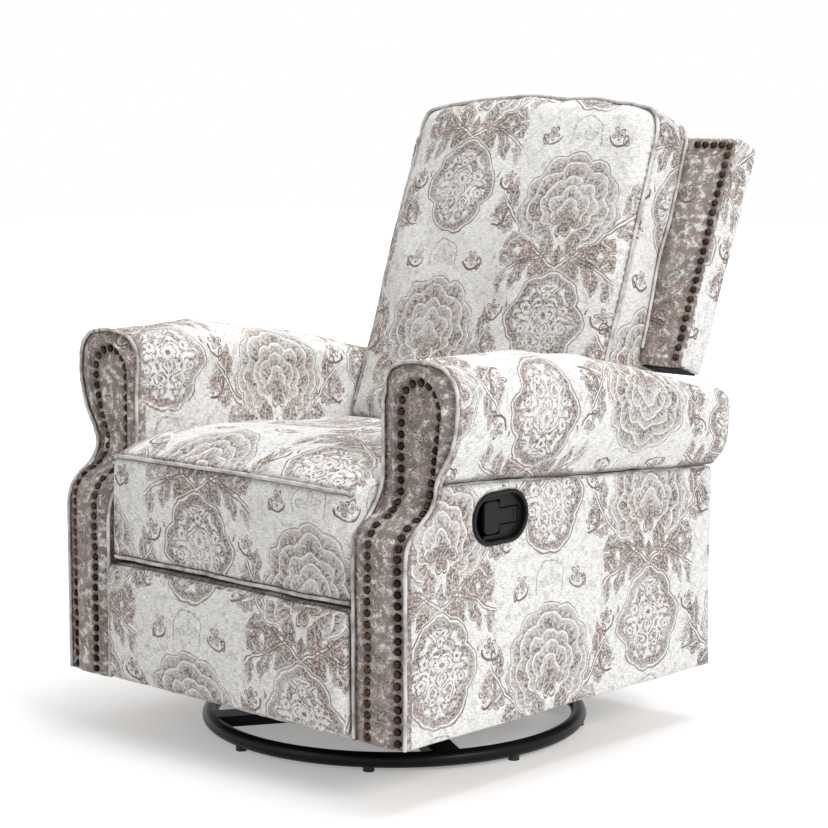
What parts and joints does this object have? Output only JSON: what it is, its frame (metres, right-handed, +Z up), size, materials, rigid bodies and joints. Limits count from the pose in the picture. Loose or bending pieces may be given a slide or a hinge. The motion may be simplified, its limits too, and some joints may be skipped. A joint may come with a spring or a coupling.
{
  "type": "swivel glider recliner",
  "caption": "Upholstered swivel glider recliner with rolled nail-trimmed arms, a winged reclining back, a fold-out footrest and a round ring base.",
  "frame": {"origin": "on the floor, on the swivel axis, at the ring base's centre", "axes": "+Z up, -Y towards the chair's front, +X to the sitter's left"},
  "size_m": [0.8548, 0.9066, 1.0451],
  "materials": {
    "damask_fabric": "linen weave with a faded taupe damask print",
    "black_steel": "black powder coat",
    "zinc_steel": "zinc-plated mild steel",
    "black_plastic": "fine-grained moulded plastic",
    "nylon": "natural nylon",
    "rubber": "moulded rubber",
    "wood": "bare plywood and softwood",
    "nail_bronze": "antique bronze domes",
    "black_cloth": "black non-woven dust cloth",
    "cable_jacket": "black cable sheath"
  },
  "bodies": {
    "base": {"base_ring": "black_steel", "cross_bars": "black_steel", "base_feet": "rubber", "lower_race": "black_steel", "thrust_ring": "nylon", "swivel_bolt": "zinc_steel"},
    "swivel_frame": {"upper_race": "black_steel", "glide_base": "black_steel"},
    "glide_links_front": {"glide_link_front_left": "black_steel", "glide_link_front_right": "black_steel"},
    "glide_links_rear": {"glide_link_rear_left": "black_steel", "glide_link_rear_right": "black_steel"},
    "chassis": {"arm_panel_left": "damask_fabric", "arm_panel_right": "damask_fabric", "arm_roll_left": "damask_fabric", "arm_roll_right": "damask_fabric", "arm_facing_left": "damask_fabric", "arm_facing_right": "damask_fabric", "arm_nails_left": "nail_bronze", "arm_nails_right": "nail_bronze", "arm_sill_left": "wood", "arm_sill_right": "wood", "hanger_rail_left": "black_steel", "hanger_rail_right": "black_steel", "mech_plate_left": "zinc_steel", "mech_plate_right": "zinc_steel", "front_rail": "wood", "rear_rail": "wood", "rear_panel": "damask_fabric", "handle_bezel": "black_plastic", "release_cable": "cable_jacket"},
    "pull_paddle": {"pull_paddle": "black_plastic"},
    "seat_carriers_front": {"seat_carriers_front": "zinc_steel"},
    "seat_carriers_rear": {"seat_carriers_rear": "zinc_steel"},
    "seat": {"seat_rail_left": "zinc_steel", "seat_rail_right": "zinc_steel", "seat_cross_tubes": "zinc_steel", "seat_springs": "zinc_steel", "seat_front_board": "wood", "seat_cushion": "damask_fabric"},
    "back": {"back_bracket_left": "zinc_steel", "back_bracket_right": "zinc_steel", "back_wood_frame": "wood", "back_shell": "damask_fabric", "back_dust_cover": "black_cloth", "back_cushion": "damask_fabric", "back_nails": "nail_bronze"},
    "drive_links": {"drive_link_left": "zinc_steel", "drive_link_right": "zinc_steel", "torque_tube": "zinc_steel"},
    "long_links": {"long_link_left": "zinc_steel", "long_link_right": "zinc_steel"},
    "front_links": {"front_link_left": "zinc_steel", "front_link_right": "zinc_steel"},
    "short_links": {"short_link_left": "zinc_steel", "short_link_right": "zinc_steel"},
    "footrest": {"footrest_bracket_left": "zinc_steel", "footrest_bracket_right": "zinc_steel", "footrest_board": "wood", "footrest_pad": "damask_fabric"}
  },
  "joints": [
    {"name": "swivel", "type": "hinge", "parent": "base", "child": "swivel_frame", "pos_m": [0, 0, 0], "axis": [0, 0, 1], "continuous": true},
    {"name": "glide", "type": "hinge", "parent": "glide_links_front", "child": "chassis", "pos_m": [0, -0.11, 0.11], "axis": [1, 0, 0], "range_deg": [-18, 18]},
    {"name": "glide_front_hinge", "type": "hinge", "parent": "swivel_frame", "child": "glide_links_front", "pos_m": [0, -0.11, 0.228], "axis": [1, 0, 0], "range_deg": [-18, 18]},
    {"name": "glide_rear_hinge", "type": "hinge", "parent": "swivel_frame", "child": "glide_links_rear", "pos_m": [0, 0.13, 0.228], "axis": [1, 0, 0], "range_deg": [-18, 18]},
    {"name": "back_recline", "type": "hinge", "parent": "seat", "child": "back", "pos_m": [0, 0.24, 0.285], "axis": [-1, 0, 0], "range_deg": [0, 28]},
    {"name": "seat_carrier_front", "type": "hinge", "parent": "chassis", "child": "seat_carriers_front", "pos_m": [0, -0.08183, 0.1823], "axis": [1, 0, 0], "range_deg": [0, 24.01]},
    {"name": "seat_carrier_rear", "type": "hinge", "parent": "chassis", "child": "seat_carriers_rear", "pos_m": [0, 0.14817, 0.1823], "axis": [1, 0, 0], "range_deg": [0, 24.01]},
    {"name": "seat_hinge", "type": "hinge", "parent": "seat_carriers_front", "child": "seat", "pos_m": [0, -0.06, 0.285], "axis": [-1, 0, 0], "range_deg": [0, 24.01]},
    {"name": "footrest_extend", "type": "hinge", "parent": "seat", "child": "drive_links", "pos_m": [0, -0.182, 0.243], "axis": [-1, 0, 0], "range_deg": [0, 104]},
    {"name": "long_link_hinge", "type": "hinge", "parent": "drive_links", "child": "long_links", "pos_m": [0, -0.07857, 0.11061], "axis": [1, 0, 0], "range_deg": [0, 104]},
    {"name": "footrest_hinge", "type": "hinge", "parent": "long_links", "child": "footrest", "pos_m": [0, -0.33145, 0.25661], "axis": [-1, 0, 0], "range_deg": [0, 104]},
    {"name": "front_link_hinge", "type": "hinge", "parent": "seat", "child": "front_links", "pos_m": [0, -0.27293, 0.2955], "axis": [-1, 0, 0], "range_deg": [0, 104]},
    {"name": "short_link_hinge", "type": "hinge", "parent": "front_links", "child": "short_links", "pos_m": [0, -0.12517, 0.10638], "axis": [1, 0, 0], "range_deg": [0, 104]},
    {"name": "paddle_pull", "type": "hinge", "parent": "chassis", "child": "pull_paddle", "pos_m": [0.374, -0.134, 0.415], "axis": [0, 0, 1], "range_deg": [0, 22], "stiffness_Nm_per_rad": 0.4, "springref_deg": -20.05}
  ],
  "couplings": [
    {"joint": "glide_front_hinge", "follows": "glide", "ratio": -1},
    {"joint": "glide_rear_hinge", "follows": "glide", "ratio": -1},
    {"joint": "seat_carrier_front", "follows": "back_recline", "ratio": 0.85714},
    {"joint": "seat_carrier_rear", "follows": "back_recline", "ratio": 0.85714},
    {"joint": "seat_hinge", "follows": "back_recline", "ratio": 0.85714},
    {"joint": "long_link_hinge", "follows": "footrest_extend", "ratio": 1},
    {"joint": "footrest_hinge", "follows": "footrest_extend", "ratio": 1},
    {"joint": "front_link_hinge", "follows": "footrest_extend", "ratio": 1},
    {"joint": "short_link_hinge", "follows": "footrest_extend", "ratio": 1}
  ]
}
